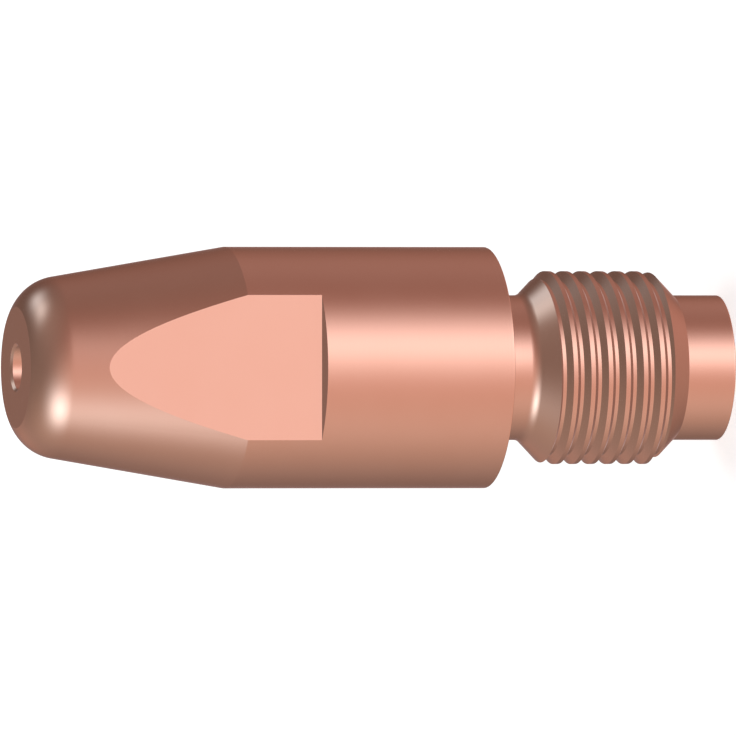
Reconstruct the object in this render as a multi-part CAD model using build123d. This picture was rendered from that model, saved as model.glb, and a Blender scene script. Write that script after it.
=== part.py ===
from build123d import *
from math import ceil, cos, radians, sin, sqrt, tan
import os

# Sizes of the tip, in millimetres and degrees. The axis is Z, the rear face is at zero
# and the nose points up.

# Whole tip and its main body
overall_length = 30.0
body_diameter = 10.0

# Pilot that centres the tip in the gas diffuser
pilot_diameter = 6.0
pilot_length = 2.0

# Fastening thread, a right-hand metric one with a fine pitch
thread_diameter = 8.0
thread_pitch = 0.75
thread_length = 4.5
thread_included_angle = 60.0
thread_chamfer_angle = 45.0
thread_start_angle = 180.0

# Relief between the thread and the seat, rounded where it meets the thread's chamfer
neck_diameter = 6.0
neck_length = 1.5
neck_fillet_radius = 0.6

# Wrench flats, cut above a round collar
across_flats = 8.0
collar_length = 8.0

# Nose, a long taper and a rounded corner, faced off flat
taper_length = 8.85
taper_end_diameter = 7.0
nose_corner_radius = 2.0
nose_face_diameter = 5.0

# Passage for the wire
bore_diameter = 1.8
bore_chamfer = 0.1
lead_in_diameter = 3.2
lead_in_included_angle = 60.0


def cone_height(first_diameter, second_diameter, half_angle):
    """Height in which a cone goes from one diameter to the other."""
    return abs(first_diameter - second_diameter) / 2 / tan(radians(half_angle))


# Levels along the axis that follow from the sizes
thread_level = pilot_length + cone_height(pilot_diameter, thread_diameter, thread_chamfer_angle)
thread_top_level = thread_level + thread_length
neck_level = thread_top_level + cone_height(thread_diameter, neck_diameter, thread_chamfer_angle)
seat_level = neck_level + neck_length
flats_level = seat_level + collar_length
taper_level = overall_length - taper_length


def turned(*outline):
    """Solid turned about the axis from outline points, each a radius and a level."""
    with BuildPart() as piece:
        with BuildSketch(Plane.XZ):
            with BuildLine():
                Polyline(*outline, close=True)
            make_face()
        revolve(axis=Axis.Z)
    return piece.part


def pilot():
    """Plain cylinder at the rear end."""
    radius = pilot_diameter / 2
    return turned((0, 0), (radius, 0), (radius, pilot_length), (0, pilot_length))


def nose_corner():
    """Arc that leaves the taper smoothly and ends at the rim of the nose face."""
    slope = Vector(taper_end_diameter - body_diameter, 2 * taper_length).normalized()
    taper_end = Vector(taper_end_diameter / 2, overall_length)
    rim = Vector(nose_face_diameter / 2, overall_length)
    foot = taper_end + slope * (rim - taper_end).dot(slope)
    depth = (rim - foot).length
    start = foot - slope * sqrt(2 * nose_corner_radius * depth - depth**2)
    return RadiusArc(start, rim, -nose_corner_radius)


def neck_fillet():
    """Arc that leads smoothly from the chamfer at the thread's end into the neck."""
    angle = radians(thread_chamfer_angle)
    reach = neck_fillet_radius * tan(angle / 2)
    corner = Vector(neck_diameter / 2, neck_level)
    return RadiusArc(
        corner + Vector(sin(angle), -cos(angle)) * reach,
        corner + Vector(0, reach),
        neck_fillet_radius,
    )


def head():
    """Neck, body, taper and nose, before the flats and the bore are cut."""
    with BuildPart() as piece:
        with BuildSketch(Plane.XZ):
            with BuildLine():
                corner = nose_corner()
                fillet = neck_fillet()
                Polyline(corner @ 1, (0, overall_length), (0, (fillet @ 0).Y), fillet @ 0)
                Polyline(
                    fillet @ 1,
                    (neck_diameter / 2, seat_level),
                    (body_diameter / 2, seat_level),
                    (body_diameter / 2, taper_level),
                    corner @ 0,
                )
            make_face()
        revolve(axis=Axis.Z)
    return piece.part


def thread_profile():
    """One pitch of the thread as radius and rise: root, flank, crest and flank."""
    crest_width = thread_pitch / 4
    root_width = thread_pitch / 5
    flank_width = (thread_pitch - crest_width - root_width) / 2
    crest_radius = thread_diameter / 2
    root_radius = crest_radius - flank_width / tan(radians(thread_included_angle / 2))
    return [
        (root_radius, 0),
        (root_radius, root_width),
        (crest_radius, root_width + flank_width),
        (crest_radius, thread_pitch - flank_width),
        (root_radius, thread_pitch),
    ]


def thread_turn(level):
    """Faces of one full turn, each a strip between two helices."""
    rails = []
    for radius, rise in thread_profile():
        rails.append(Edge.make_helix(thread_pitch, thread_pitch, radius, center=(0, 0, level + rise)))
    return [Face.make_surface_from_curves(low, high) for low, high in zip(rails, rails[1:])]


def thread_end(level):
    """Two faces that close an end of the threaded bar: a winding ramp and the step beside it."""
    profile = thread_profile()
    axis_low = Vector(0, 0, level)
    axis_high = Vector(0, 0, level + thread_pitch)
    rail = Edge.make_helix(thread_pitch, thread_pitch, profile[0][0], center=axis_low)
    ramp = Face.make_surface_from_curves(rail, Edge.make_line(axis_low, axis_high))
    corners = [Vector(radius, 0, level + rise) for radius, rise in profile]
    step = Face(Wire.make_polygon([axis_low, *corners, axis_high], close=True))
    return [ramp, step]


def threaded_bar():
    """Bar with the full thread, long enough for both its ends to be cut away."""
    spare_turns = 2
    first_level = pilot_length - spare_turns * thread_pitch
    turns = ceil((neck_level - pilot_length) / thread_pitch) + 2 * spare_turns
    faces = thread_end(first_level) + thread_end(first_level + turns * thread_pitch)
    for turn in range(turns):
        faces += thread_turn(first_level + turn * thread_pitch)
    return Rot(0, 0, thread_start_angle) * Solid(Shell(faces))


def threaded_stretch():
    """The thread from the pilot to the neck's fillet, cut off by the cones of its two chamfers."""
    fillet_foot = neck_fillet() @ 0
    slope = tan(radians(thread_chamfer_angle))
    pilot_radius = pilot_diameter / 2
    neck_radius = neck_diameter / 2
    middle_level = (pilot_length + neck_level + (neck_radius - pilot_radius) / slope) / 2
    middle_radius = pilot_radius + (middle_level - pilot_length) * slope
    chamfers = turned(
        (0, pilot_length),
        (pilot_radius, pilot_length),
        (middle_radius, middle_level),
        fillet_foot,
        (0, fillet_foot.Y),
    )
    return chamfers & threaded_bar()


def flat_cut():
    """Metal milled away for a wrench flat, from its end wall up past the nose."""
    return Pos(0, across_flats / 2, flats_level) * Box(
        2 * body_diameter,
        body_diameter,
        overall_length,
        align=(Align.CENTER, Align.MIN, Align.MIN),
    )


def wire_passage():
    """Bore with a conical lead-in at the rear face and a small chamfer at the nose face."""
    bore_radius = bore_diameter / 2
    lead_in_height = cone_height(lead_in_diameter, bore_diameter, lead_in_included_angle / 2)
    return turned(
        (0, 0),
        (lead_in_diameter / 2, 0),
        (bore_radius, lead_in_height),
        (bore_radius, overall_length - bore_chamfer),
        (bore_radius + bore_chamfer, overall_length),
        (0, overall_length),
    )


def contact_tip():
    """The finished tip, one piece of copper alloy."""
    tip = pilot() + threaded_stretch() + head()
    tip -= flat_cut()
    tip -= mirror(flat_cut(), about=Plane.XZ)
    tip -= wire_passage()
    return tip


tip = contact_tip()
print(f"contact_tip: {len(tip.solids())} solid, {tip.volume:.2f} cubic millimetres")
os.makedirs("parts", exist_ok=True)
export_step(tip, "parts/contact_tip.step")
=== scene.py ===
# %% [markdown]
# A copper contact tip for a welding torch.
# The tip is the small copper part at the end of a welding torch that guides the wire and
# passes the current into it. It is turned from one bar, so this scene has one piece: a
# threaded shank, a round body with two wrench flats, a tapered nose and a bore for the wire.
# The imported CAD model comes in first, as a fixed frame. Its box is kept, and the
# finished piece is made to fit inside it.

# %% Load the frame
from math import atan2, cos, degrees, pi, radians, sin, sqrt, tan

import bmesh
import bpy
from mathutils import Matrix, Vector


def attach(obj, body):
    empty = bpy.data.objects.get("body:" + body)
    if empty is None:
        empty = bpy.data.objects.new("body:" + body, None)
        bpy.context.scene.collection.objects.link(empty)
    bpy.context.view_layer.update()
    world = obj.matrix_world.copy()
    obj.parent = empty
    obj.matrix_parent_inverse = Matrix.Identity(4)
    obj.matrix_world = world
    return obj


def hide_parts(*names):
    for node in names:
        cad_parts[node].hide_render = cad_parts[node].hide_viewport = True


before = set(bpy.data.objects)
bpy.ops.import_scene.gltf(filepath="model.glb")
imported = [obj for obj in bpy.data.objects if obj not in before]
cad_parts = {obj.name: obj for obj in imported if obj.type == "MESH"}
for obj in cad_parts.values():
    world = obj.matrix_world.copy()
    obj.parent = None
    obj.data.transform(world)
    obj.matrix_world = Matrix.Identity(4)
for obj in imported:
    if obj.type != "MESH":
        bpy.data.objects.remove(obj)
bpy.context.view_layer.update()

# %% [markdown]
# The sizes are those of a workshop drawing, in millimetres, with the rear face at level
# zero and the nose at the top. Blender measures in metres, and its tools are safest on
# sizes near one, so the tip is modelled with one unit for each millimetre and is made a
# thousand times smaller at the end. The body is turned a hair under its nominal radius of
# 5, so that it stays inside the CAD model's box, whose round faces are made of flats.

# %% Sizes from the drawing
MM = 0.001
overall_length = 30.0
body_radius = 4.995
pilot_radius = 3.0
pilot_length = 2.0
neck_radius = 3.0
neck_level = 8.5
neck_fillet_radius = 0.6
seat_level = 10.0
flats_level = 18.0
flat_distance = 4.0
taper_level = 21.15
taper_length = overall_length - taper_level
taper_end_radius = 3.5
nose_face_radius = 2.5
nose_corner_radius = 2.0
bore_radius = 0.9
bore_chamfer = 0.1
lead_in_radius = 1.6
lead_in_half_angle = radians(30)
thread_radius = 4.0
thread_pitch = 0.75
edge_break = 0.04
print("body", 2 * body_radius, "mm across and", overall_length, "mm long")

# %% [markdown]
# Almost every surface of the tip is turned in a lathe, so it can be made from one outline
# that is spun about the axis. The outline is drawn as by hand: a plane is merged into one
# point, and that point is extruded from corner to corner. A curve could be drawn instead,
# but on a mesh each corner can be picked and rounded by itself. Points closer than a
# thousandth of a millimetre count as the same place.

# %% Tools for drawing an outline
same_place = 0.001


def start_fresh():
    """Leaves edit mode with nothing selected, so that the next tool acts on nothing else."""
    if bpy.context.mode != "OBJECT":
        bpy.ops.object.mode_set(mode="OBJECT")
    bpy.ops.object.select_all(action="DESELECT")


def draw_point(name, radius, level):
    """A new object with one vertex, in edit mode."""
    start_fresh()
    bpy.ops.mesh.primitive_plane_add(size=1, location=(0, 0, 0), calc_uvs=False)
    drawing = bpy.context.object
    drawing.name = name
    bpy.ops.object.mode_set(mode="EDIT")
    bpy.ops.mesh.merge(type="CENTER")
    bpy.ops.transform.translate(value=(radius, 0, level))
    return drawing


def last_point(drawing):
    """Where the selected vertex is."""
    outline = bmesh.from_edit_mesh(drawing.data)
    return next(vertex.co.copy() for vertex in outline.verts if vertex.select)


def draw_line(drawing, *corners):
    """Extrudes the selected vertex to each corner, given as a radius and a level."""
    for radius, level in corners:
        step = Vector((radius, 0, level)) - last_point(drawing)
        bpy.ops.mesh.extrude_region_move(TRANSFORM_OT_translate={"value": step})


def pick_points(drawing, test):
    """Selects only the vertices that pass the test, and says how many there are."""
    bpy.ops.mesh.select_mode(type="VERT")
    bpy.ops.mesh.select_all(action="DESELECT")
    outline = bmesh.from_edit_mesh(drawing.data)
    picked = [vertex for vertex in outline.verts if test(vertex.co)]
    for vertex in picked:
        vertex.select_set(True)
    outline.select_flush_mode()
    bmesh.update_edit_mesh(drawing.data)
    return len(picked)


# %% [markdown]
# The nose is a long slim cone that ends in a rounded corner. The corner leaves the cone
# smoothly and stops at the rim of the flat nose face, so its centre follows from three
# sizes: its radius, the slope of the cone, and the radius of the face. Spinning the last
# point about that centre draws it.

# %% Where the nose corner starts and ends
taper_angle = atan2(body_radius - taper_end_radius, taper_length)
outward = Vector((cos(taper_angle), 0, sin(taper_angle)))
upward = Vector((-sin(taper_angle), 0, cos(taper_angle)))
rim = Vector((nose_face_radius, 0, overall_length))
taper_end = Vector((taper_end_radius, 0, overall_length))
foot = taper_end + upward * (rim - taper_end).dot(upward)
depth = (rim - foot).length
corner_start = foot - upward * sqrt(2 * nose_corner_radius * depth - depth**2)
corner_centre = corner_start - outward * nose_corner_radius
corner_turn = (corner_start - corner_centre).angle(rim - corner_centre)
print("taper of", round(degrees(taper_angle), 2), "degrees")
print("corner starts at level", round(corner_start.z, 3))

# %% [markdown]
# Now the outline itself. It runs from the lead-in of the bore, out over the rear face and up
# the outside, over the nose and back down the bore. The shank is left as plain metal of the
# thread's full width, with a chamfer at each end, just as it is turned before its thread is
# cut. The upper chamfer runs into the neck through a small hollow round, left by the nose of
# the turning tool, and that too is the last point spun about a centre. Where a long straight
# face runs into a round, a point stands a tenth of a millimetre before it. It holds the
# shading of the long face, which would lean towards the round along its whole length.

# %% Draw the shank
holding_gap = 0.1
fillet_steps = 16
lead_in_level = (lead_in_radius - bore_radius) / tan(lead_in_half_angle)
thread_start = pilot_length + thread_radius - pilot_radius
thread_end = neck_level - (thread_radius - neck_radius)
fillet_turn = pi / 4
fillet_reach = neck_fillet_radius * tan(fillet_turn / 2)
fillet_centre = Vector((neck_radius + neck_fillet_radius, 0, neck_level + fillet_reach))

tip = draw_point("copper_contact_tip", lead_in_radius, 0)
draw_line(
    tip,
    (pilot_radius, 0),
    (pilot_radius, holding_gap),
    (pilot_radius, pilot_length),
    (thread_radius, thread_start),
    (thread_radius, thread_end),
    (neck_radius + fillet_reach * sin(fillet_turn), neck_level - fillet_reach * cos(fillet_turn)),
)
bpy.ops.mesh.spin(steps=fillet_steps, angle=-fillet_turn, center=fillet_centre, axis=(0, 1, 0))
print("fillet ends at", [round(value, 3) for value in last_point(tip)])

# %% [markdown]
# From the neck the outline goes out along the seat, up the body and the taper and round the
# corner of the nose. Then it comes back down the bore to where it began, and its last point
# is merged with its first.

# %% Draw the body, the nose and the bore
corner_steps = 26
before_corner = corner_start - upward * holding_gap
draw_line(
    tip,
    (neck_radius, seat_level),
    (body_radius, seat_level),
    (body_radius, seat_level + holding_gap),
    (body_radius, taper_level),
    (before_corner.x, before_corner.z),
    (corner_start.x, corner_start.z),
)
bpy.ops.mesh.spin(steps=corner_steps, angle=corner_turn, center=corner_centre, axis=(0, 1, 0))
print("corner ends at", [round(value, 3) for value in last_point(tip)])
draw_line(
    tip,
    (bore_radius + bore_chamfer, overall_length),
    (bore_radius, overall_length - bore_chamfer),
    (bore_radius, lead_in_level),
    (lead_in_radius, 0),
)
bpy.ops.mesh.select_all(action="SELECT")
bpy.ops.mesh.remove_doubles(threshold=same_place)

# %% [markdown]
# The real edges are never quite sharp, because the turner breaks them with a touch of a
# file. So the outer corners of the pilot and the body are rounded by a few hundredths of a
# millimetre, with a vertex bevel on the outline.

# %% Break the outer edges
edge_steps = 12
corners_to_round = [(pilot_radius, 0), (body_radius, seat_level)]


def is_outer_edge(place):
    """True for a corner of the outline that a turner would break."""
    return any(
        abs(place.x - radius) + abs(place.z - level) < same_place
        for radius, level in corners_to_round
    )


print("corners rounded:", pick_points(tip, is_outer_edge))
bpy.ops.mesh.bevel(affect="VERTICES", offset=edge_break, segments=edge_steps)

# %% [markdown]
# One turn about the axis makes the blank. A polished round body shows every flat in its
# reflections, so it gets many steps. The last step lands on the first and is merged with
# it, and the normals are turned outwards.

# %% Spin the blank
round_steps = 192
seam_gap = 0.0005
bpy.ops.mesh.select_all(action="SELECT")
bpy.ops.mesh.spin(steps=round_steps, angle=2 * pi, center=(0, 0, 0), axis=(0, 0, 1))
bpy.ops.mesh.select_all(action="SELECT")
bpy.ops.mesh.remove_doubles(threshold=seam_gap)
bpy.ops.mesh.normals_make_consistent(inside=False)
bpy.ops.object.mode_set(mode="OBJECT")
print("blank:", len(tip.data.vertices), "points,", len(tip.data.polygons), "faces")

# %% [markdown]
# The thread is cut as in the lathe, with a tool that has the shape of the groove. The groove
# has a flat root a fifth of the pitch wide and sides that open at 60 degrees, and it leaves
# crests a quarter of the pitch wide. Its outline is wound upwards by a Screw modifier, and
# the wound tool is then taken away from the blank. The tool stands a little proud of the
# metal, but not so far that its turns touch. It starts below the chamfer and stops in the
# neck, so the thread fades out on both chamfers as a real one does.

# %% Make the thread cutter
crest_width = thread_pitch / 4
root_width = thread_pitch / 5
flank_angle = radians(30)
root_radius = thread_radius - (thread_pitch - crest_width - root_width) / 2 / tan(flank_angle)
proud = 0.05
cutter_radius = thread_radius + proud
cutter_half_width = root_width / 2 + (cutter_radius - root_radius) * tan(flank_angle)
groove_level = 0.95
groove_turns = 11

cutter = draw_point("thread_cutter", root_radius, groove_level - root_width / 2)
draw_line(
    cutter,
    (cutter_radius, groove_level - cutter_half_width),
    (cutter_radius, groove_level + cutter_half_width),
    (root_radius, groove_level + root_width / 2),
    (root_radius, groove_level - root_width / 2),
)
bpy.ops.mesh.select_all(action="SELECT")
bpy.ops.mesh.remove_doubles(threshold=same_place)
bpy.ops.object.mode_set(mode="OBJECT")
winding = cutter.modifiers.new("winding", "SCREW")
winding.axis = "Z"
winding.angle = 2 * pi
winding.screw_offset = thread_pitch
winding.iterations = groove_turns
winding.steps = winding.render_steps = round_steps
winding.use_merge_vertices = True
winding.merge_threshold = seam_gap
bpy.ops.object.modifier_apply(modifier="winding")
bpy.ops.object.mode_set(mode="EDIT")
bpy.ops.mesh.select_all(action="DESELECT")
bpy.ops.mesh.select_non_manifold()
bpy.ops.mesh.edge_face_add()
bpy.ops.mesh.select_all(action="SELECT")
bpy.ops.mesh.normals_make_consistent(inside=False)
bpy.ops.object.mode_set(mode="OBJECT")
print("cutter:", len(cutter.data.polygons), "faces, root at radius", round(root_radius, 3))

# %% [markdown]
# The wrench flats are milled, each with an end wall where the cutter stops above the round
# collar. Two plain blocks stand for the path of the milling cutter. They run on past the
# nose, so each flat runs out over the taper in a curve, which is the feature that makes this
# tip easy to know.

# %% Make the milling blocks
def milling_block(side):
    """The metal that is milled away on one side of the tip."""
    start_fresh()
    width = 4 * body_radius
    middle = Vector((0, side * (flat_distance + width / 2), flats_level + width / 2))
    bpy.ops.mesh.primitive_cube_add(size=width, location=middle, calc_uvs=False)
    return bpy.context.object


blocks = [milling_block(side) for side in (-1, 1)]

# %% [markdown]
# The thread cutter and the two blocks are taken away from the blank one after another, with
# Blender's exact solver. The number of open edges, printed after the next step, tells
# whether the metal is still closed.

# %% Cut the thread and the flats
def cut_away(piece, tool):
    """Takes the tool's shape out of the piece, and removes the tool."""
    start_fresh()
    bpy.context.view_layer.objects.active = piece
    cut = piece.modifiers.new("cut", "BOOLEAN")
    cut.operation = "DIFFERENCE"
    cut.solver = "EXACT"
    cut.object = tool
    bpy.ops.object.modifier_apply(modifier="cut")
    bpy.data.objects.remove(tool)


for tool in [cutter, *blocks]:
    cut_away(tip, tool)
print("after cutting:", len(tip.data.vertices), "points,", len(tip.data.polygons), "faces")

# %% [markdown]
# Where a cut runs close past a point of the blank it leaves slivers, far too thin to see but
# wide enough to upset the shading. Merging points that lie within a few thousandths of a
# millimetre of each other clears them.

# %% Clear the slivers
sliver_width = 0.004
start_fresh()
tip.select_set(True)
bpy.context.view_layer.objects.active = tip
bpy.ops.object.mode_set(mode="EDIT")
bpy.ops.mesh.select_mode(type="VERT")
bpy.ops.mesh.select_all(action="SELECT")
bpy.ops.mesh.remove_doubles(threshold=sliver_width)
bpy.ops.mesh.dissolve_degenerate(threshold=same_place)
bpy.ops.mesh.select_all(action="DESELECT")
bpy.ops.mesh.select_non_manifold()
open_edges = sum(edge.select for edge in bmesh.from_edit_mesh(tip.data).edges)
bpy.ops.object.mode_set(mode="OBJECT")
print("cleared:", len(tip.data.vertices), "points,", len(tip.data.polygons), "faces")
print("open edges:", open_edges)

# %% [markdown]
# The finished shape is shrunk from millimetres to metres, and its object is left at the
# origin, unturned and unscaled.

# %% Shrink to metres
start_fresh()
tip.select_set(True)
bpy.context.view_layer.objects.active = tip
tip.scale = (MM, MM, MM)
bpy.ops.object.transform_apply(location=True, rotation=True, scale=True)

# %% [markdown]
# Round faces shade smoothly and real edges stay crisp. The crease between body and taper
# turns by almost ten degrees and the steps of the broken edges by seven and a half, so the
# limit lies between the two.

# %% Smooth the round faces and keep the edges
smoothing_limit = radians(8.5)
bpy.ops.object.shade_smooth_by_angle(angle=smoothing_limit)
sharp_edges = sum(edge.use_edge_sharp for edge in tip.data.edges)
print("sharp edges:", sharp_edges, "of", len(tip.data.edges))

# %% [markdown]
# Materials are built from nodes. A small class wraps one output of a node, so that sums
# can be written as plain Python, and a second one adds any node by its kind, its settings
# and what goes into its sockets.

# %% Tools for building materials
class Signal:
    """One output of a node. Arithmetic on it adds Math nodes."""

    def __init__(self, recipe, socket):
        self.recipe = recipe
        self.socket = socket

    def math(self, operation, first, second=0.0):
        return self.recipe.node("Math", {"operation": operation}, {0: first, 1: second})

    def __add__(self, other):
        return self.math("ADD", self, other)

    __radd__ = __add__

    def __mul__(self, other):
        return self.math("MULTIPLY", self, other)

    __rmul__ = __mul__

    def __sub__(self, other):
        return self.math("SUBTRACT", self, other)

    def __rsub__(self, other):
        return self.math("SUBTRACT", other, self)

    def exp(self):
        return self.math("EXPONENT", self)


class Recipe:
    """The nodes of one material or of the surroundings."""

    def __init__(self, owner):
        owner.use_nodes = True
        self.tree = owner.node_tree
        self.tree.nodes.clear()

    def node(self, kind, settings=None, sockets=None, output=0):
        """Adds a node: first its settings, then the values or links of its sockets."""
        made = self.tree.nodes.new("ShaderNode" + kind)
        for name, value in (settings or {}).items():
            setattr(made, name, value)
        for name, value in (sockets or {}).items():
            if isinstance(value, Signal):
                self.tree.links.new(value.socket, made.inputs[name])
            else:
                made.inputs[name].default_value = value
        return Signal(self, made.outputs[output]) if made.outputs else made

    def mix(self, share, first, second):
        """A colour between two colours."""
        sockets = {"Factor": share, 6: first, 7: second}
        return self.node("Mix", {"data_type": "RGBA"}, sockets, output=2)

    def ramp(self, value, start, end):
        """Rises softly from zero at the start to one at the end."""
        settings = {"interpolation_type": "SMOOTHSTEP"}
        return self.node("MapRange", settings, {"Value": value, "From Min": start, "From Max": end})


# %% [markdown]
# Freshly turned copper alloy is a warm rose colour with a satin polish. Close up it is not
# even: the lathe leaves fine rings that follow each surface, and handling leaves faint
# warmer patches. The rings are drawn from one number that grows along the axis and shrinks
# with the radius, so they run round the sides and in circles on the end faces. Metal seen
# at a slant turns paler. Copper keeps its colour almost to the very edge, and the tint says
# so to the shader.

# %% Turned copper
warm_copper = (0.90, 0.425, 0.315, 1)
pale_copper = (0.925, 0.455, 0.345, 1)
# Darker dull copper colour used deep in the bore as painted shade.
painted_shade_copper = (0.42, 0.18, 0.14, 1)
edge_tint = (0.957, 0.624, 0.512, 1)
patches_per_mm = 0.35
grains_per_mm = 9.0
rings_per_mm = 12.0
ring_height = 0.0006
ring_lean = 1.6


def copper(name, marks_per_mm, mark_height, mark_number, painted_shade=None):
    """Satin copper with the marks of a tool. The function mark_number gives what the marks
    follow, and the last argument, if there is one, gives how far the copper gives way at each
    place to a darker, dull matt shader that paints shade."""
    material = bpy.data.materials.new(name)
    recipe = Recipe(material)
    place = recipe.node("TexCoord", output=3)
    in_mm = recipe.node("VectorMath", {"operation": "SCALE"}, {0: place, "Scale": 1 / MM})
    along_marks = mark_number(recipe, in_mm) * marks_per_mm
    marks = recipe.node(
        "TexNoise",
        {"noise_dimensions": "1D"},
        {"W": along_marks, "Scale": 1.0, "Detail": 3.0, "Roughness": 0.6},
    )
    patches = recipe.node(
        "TexNoise",
        {},
        {"Vector": in_mm, "Scale": patches_per_mm, "Detail": 3.0, "Roughness": 0.55},
    )
    grain = recipe.node("TexNoise", {}, {"Vector": in_mm, "Scale": grains_per_mm, "Detail": 2.0})
    colour = recipe.mix(patches, warm_copper, pale_copper)
    bumps = recipe.node(
        "Bump",
        {},
        {"Height": marks + 0.3 * grain, "Strength": 1.0, "Distance": mark_height * MM},
    )
    surface = recipe.node(
        "BsdfPrincipled",
        {},
        {
            "Base Color": colour,
            "Metallic": 1.0,
            "Specular Tint": edge_tint,
            "Roughness": 0.15 + 0.06 * patches + 0.04 * marks,
            "Normal": bumps,
        },
    )
    # Painted shade: where the share is high a darker, dull matt shader takes over from the copper,
    # standing in for the shade deep in a hole, and the render shades it further.
    if painted_shade:
        painted_shade_matt = recipe.node(
            "BsdfPrincipled",
            {},
            {"Base Color": painted_shade_copper, "Roughness": 0.8, "Specular IOR Level": 0.0},
        )
        surface = recipe.node("MixShader", {}, {0: painted_shade(recipe, in_mm), 1: surface, 2: painted_shade_matt})
    recipe.node("OutputMaterial", {}, {"Surface": surface})
    return material


def ring_count(recipe, in_mm):
    """Grows along the axis and shrinks with the radius."""
    across = recipe.node("VectorMath", {"operation": "MULTIPLY"}, {0: in_mm, 1: (1, 1, 0)})
    radius = recipe.node("VectorMath", {"operation": "LENGTH"}, {0: across}, output=1)
    level = recipe.node("SeparateXYZ", {}, {0: in_mm}, output=2)
    return level - ring_lean * radius


turned_copper = copper("turned_copper", rings_per_mm, ring_height, ring_count)

# %% [markdown]
# The flats are milled and not turned, so their marks are shallow arcs, left by a cutter of
# larger radius than the flat is wide.

# %% Milled copper
arcs_per_mm = 7.0
arc_height = 0.0003
milling_centre = (0, 0, 4.0)


def arc_count(recipe, in_mm):
    """Distance from the middle of the milling cutter."""
    from_cutter = recipe.node(
        "VectorMath", {"operation": "SUBTRACT"}, {0: in_mm, 1: milling_centre}
    )
    flat_only = recipe.node(
        "VectorMath", {"operation": "MULTIPLY"}, {0: from_cutter, 1: (1, 0, 1)}
    )
    return recipe.node("VectorMath", {"operation": "LENGTH"}, {0: flat_only}, output=1)


milled_copper = copper("milled_copper", arcs_per_mm, arc_height, arc_count)

# %% [markdown]
# The bore is drilled, and hardly any light gets down it. Just inside each mouth its wall is
# as bright as the faces outside. Over the next few millimetres the copper gives way to a
# darker, dull matt shader. Its darker colour is painted shade, and the render shades that matt
# wall for real as well, so the bore looks like the deep hole it is from every side.

# %% Drilled copper with painted shade
bright_depth = 0.6
dark_depth = 3.5


def bore_shade_share(recipe, in_mm):
    """How much painted shade the bore gets: zero near either mouth of the bore, and one where it is
    deep.
    """
    level = recipe.node("SeparateXYZ", {}, {0: in_mm}, output=2)
    from_middle = recipe.node("Math", {"operation": "ABSOLUTE"}, {0: level - overall_length / 2})
    return recipe.ramp(overall_length / 2 - from_middle, bright_depth, dark_depth)


drilled_copper_painted_shade = copper("drilled_copper_painted_shade", rings_per_mm, ring_height, ring_count, bore_shade_share)

# %% [markdown]
# The two flats get the milled finish, the wall of the bore gets the drilled one with its
# painted shade, and the rest is turned. In the photograph the tone of each face depends only
# on which way it turns, and no part of the tip is mirrored in another, so the tip is left out
# of mirror rays.

# %% Give each face its finish
square_on = 0.999
turned, milled, drilled = range(3)
tip.data.materials.clear()
for finish in (turned_copper, milled_copper, drilled_copper_painted_shade):
    tip.data.materials.append(finish)
for face in tip.data.polygons:
    from_flat = abs(abs(face.center.y) - flat_distance * MM)
    if from_flat < same_place * MM and abs(face.normal.y) > square_on:
        face.material_index = milled
    elif face.center.xy.length < (bore_radius + same_place) * MM:
        face.material_index = drilled
    else:
        face.material_index = turned
finishes = [face.material_index for face in tip.data.polygons]
counts = [finishes.count(finish) for finish in (turned, milled, drilled)]
print("turned, milled and drilled faces:", counts)
tip.visible_glossy = False
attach(tip, "root")
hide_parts("contact_tip")

# %% [markdown]
# The tip stands on its rear face on a sheet of white paper. The camera and any glass see the
# paper as white, yet the paper keeps the tip's shadow. Metal ought to mirror the white paper
# too, and here it does not, which is a choice and not how paper behaves. The upright faces
# mirror what lies fifteen degrees below the horizon. With white paper there, the whole tip
# is one flat tone, while the photograph shows light and dark bands. So mirror rays pass
# through the paper to the soft boxes, and the front flat still mirrors plain white light.

# %% Paper floor
white = (1, 1, 1, 1)
paper_grey = (0.74, 0.74, 0.74, 1)
paper_glow = 0.68
paper_size = 3
start_fresh()
bpy.ops.mesh.primitive_plane_add(size=paper_size, location=(0, 0, 0))
paper = bpy.context.object
paper.name = "paper_floor"
paper_white = bpy.data.materials.new("paper_white")
sheet = Recipe(paper_white)
to_camera = sheet.node("LightPath", output="Is Camera Ray")
to_mirror = sheet.node("LightPath", output="Is Glossy Ray")
to_glass = sheet.node("LightPath", output="Is Transmission Ray")
lit = sheet.node("BsdfDiffuse", {}, {"Color": paper_grey})
glow_level = (to_camera + to_glass) * paper_glow
glow = sheet.node("Emission", {}, {"Color": white, "Strength": glow_level})
seen = sheet.node("AddShader", {}, {0: lit, 1: glow})
clear = sheet.node("BsdfTransparent", {}, {"Color": white})
surface = sheet.node("MixShader", {}, {0: to_mirror * (1 - to_glass), 1: seen, 2: clear})
sheet.node("OutputMaterial", {}, {"Surface": surface})
paper.data.materials.append(paper_white)

# %% [markdown]
# The surroundings hold the light that the copper shows. Each soft box is a round patch of
# light with a soft edge, given by its direction from the tip, its spread and its colour.
# Their places and colours were fitted to the shading of the photograph. The key and the
# windows are clearly blue, with about twice as much blue as red, so that their bright spots
# come out near white on the warm metal. The camera and any glass see plain white instead,
# and matt surfaces get an even grey.

# %% Soft boxes
def direction(azimuth, elevation):
    """Azimuth 0 is towards the camera and 90 is towards +X."""
    a, e = radians(azimuth), radians(elevation)
    return (sin(a) * cos(e), -cos(a) * cos(e), sin(e))


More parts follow.
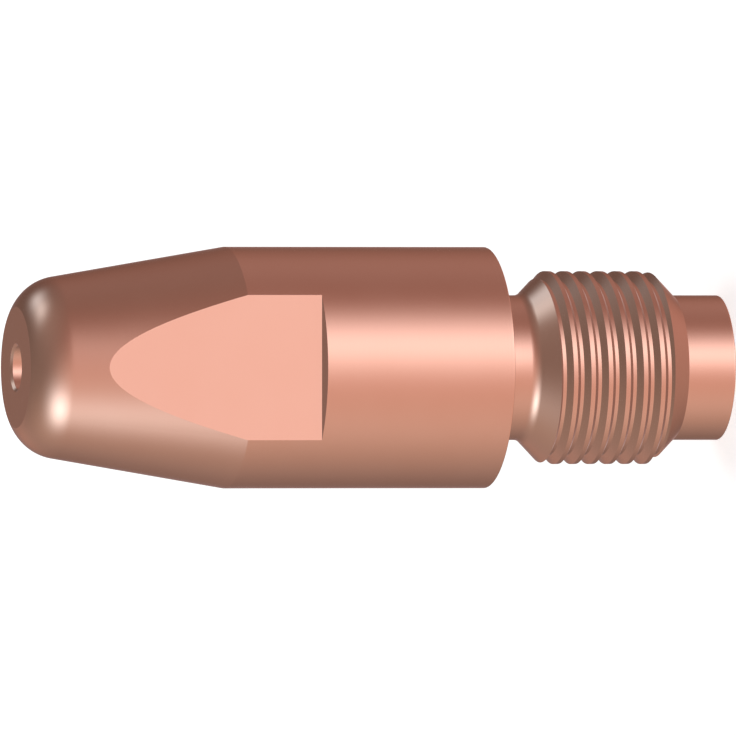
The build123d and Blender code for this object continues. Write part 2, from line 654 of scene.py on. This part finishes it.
soft_boxes = [
    ("key", 23, -31, 17, (1.35, 1.91, 2.15)),
    ("left window", -60, 28, 16, (1.28, 2.10, 2.48)),
    ("right window", 133, 28, 8, (0.47, 0.90, 1.15)),
    ("upper right window", 114, 40, 9, (0.54, 0.93, 1.10)),
    ("warm front", 14, -35, 40, (0.31, 0.12, 0.08)),
    ("low left", -62, -41, 36, (0.49, 0.48, 0.42)),
    ("far left", -116, 34, 31, (0.26, 0.28, 0.25)),
    ("front", -19, 20, 26, (0.32, 0.36, 0.36)),
    ("low right", 121, -43, 25, (0.41, 0.35, 0.35)),
    ("cool left", -160, -12, 32, (0.02, 0.09, 0.15)),
    ("overhead", 85, 45, 30, (0.17, 0.20, 0.20)),
    ("rear left", -163, 13, 14, (0.20, 0.21, 0.22)),
    ("back", 180, -18, 7.5, (0.45, 0.35, 0.31)),
]
room = (0.077, 0.083, 0.079)
matt_light = (0.35, 0.35, 0.35, 1)
world = bpy.data.worlds.new("studio")
bpy.context.scene.world = world
world.cycles.sampling_method = "NONE"
studio = Recipe(world)
ray = studio.node("TexCoord", output=0)
light = studio.node("VectorMath", {"operation": "ADD"}, {0: (0, 0, 0), 1: room})
for name, azimuth, elevation, spread, colour in soft_boxes:
    sockets = {0: ray, 1: direction(azimuth, elevation)}
    facing = studio.node("VectorMath", {"operation": "DOT_PRODUCT"}, sockets, output=1)
    strength = ((facing - 1) * (1 / radians(spread) ** 2)).exp()
    patch = studio.node("VectorMath", {"operation": "SCALE"}, {0: colour, "Scale": strength})
    light = studio.node("VectorMath", {"operation": "ADD"}, {0: light, 1: patch})
camera_ray = studio.node("LightPath", output="Is Camera Ray")
matt_ray = studio.node("LightPath", output="Is Diffuse Ray")
glass_ray = studio.node("LightPath", output="Is Transmission Ray")
level = studio.mix(matt_ray, light, matt_light)
level = studio.mix(camera_ray + glass_ray, level, white)
background = studio.node("Background", {}, {"Color": level, "Strength": 1.0})
studio.node("OutputWorld", {}, {"Surface": background})

# %% [markdown]
# One large lamp behind the tip gives the paper its soft shadow, which falls towards the
# camera.

# %% Shadow lamp
lamp_distance = 0.3
lamp_width = 0.1
lamp_power = 0.22
start_fresh()
lamp_place = Vector(direction(172, 48)) * lamp_distance
bpy.ops.object.light_add(type="AREA", location=lamp_place)
lamp = bpy.context.object
lamp.name = "shadow_lamp"
lamp.data.shape = "DISK"
lamp.data.size = lamp_width
lamp.data.energy = lamp_power
lamp.rotation_euler = lamp_place.to_track_quat("Z", "Y").to_euler()
lamp.visible_glossy = False

# %% [markdown]
# The photograph shows the tip lying level with its nose to the left, from a little beyond the
# nose end, and with no perspective. A long lens from far away gives the same view. The
# camera is turned a quarter about its own axis, because the tip stands upright here.

# %% Camera
view_angle = radians(15)
frame_width = 30.44
lens = 1500.0
sensor = 36.0
distance = frame_width * MM * lens / sensor
target = Vector((-0.0000165, 0, 0.014967))
start_fresh()
looking_back = Vector((0, -cos(view_angle), sin(view_angle)))
turn = Matrix.Rotation(pi / 2 - view_angle, 3, "X") @ Matrix.Rotation(-pi / 2, 3, "Z")
bpy.ops.object.camera_add(location=target + looking_back * distance, rotation=turn.to_euler())
camera = bpy.context.object
camera.data.lens = lens
camera.data.sensor_width = sensor
bpy.context.scene.camera = camera
bpy.context.scene.view_settings.view_transform = "Standard"
print("camera", round(distance, 3), "m away")
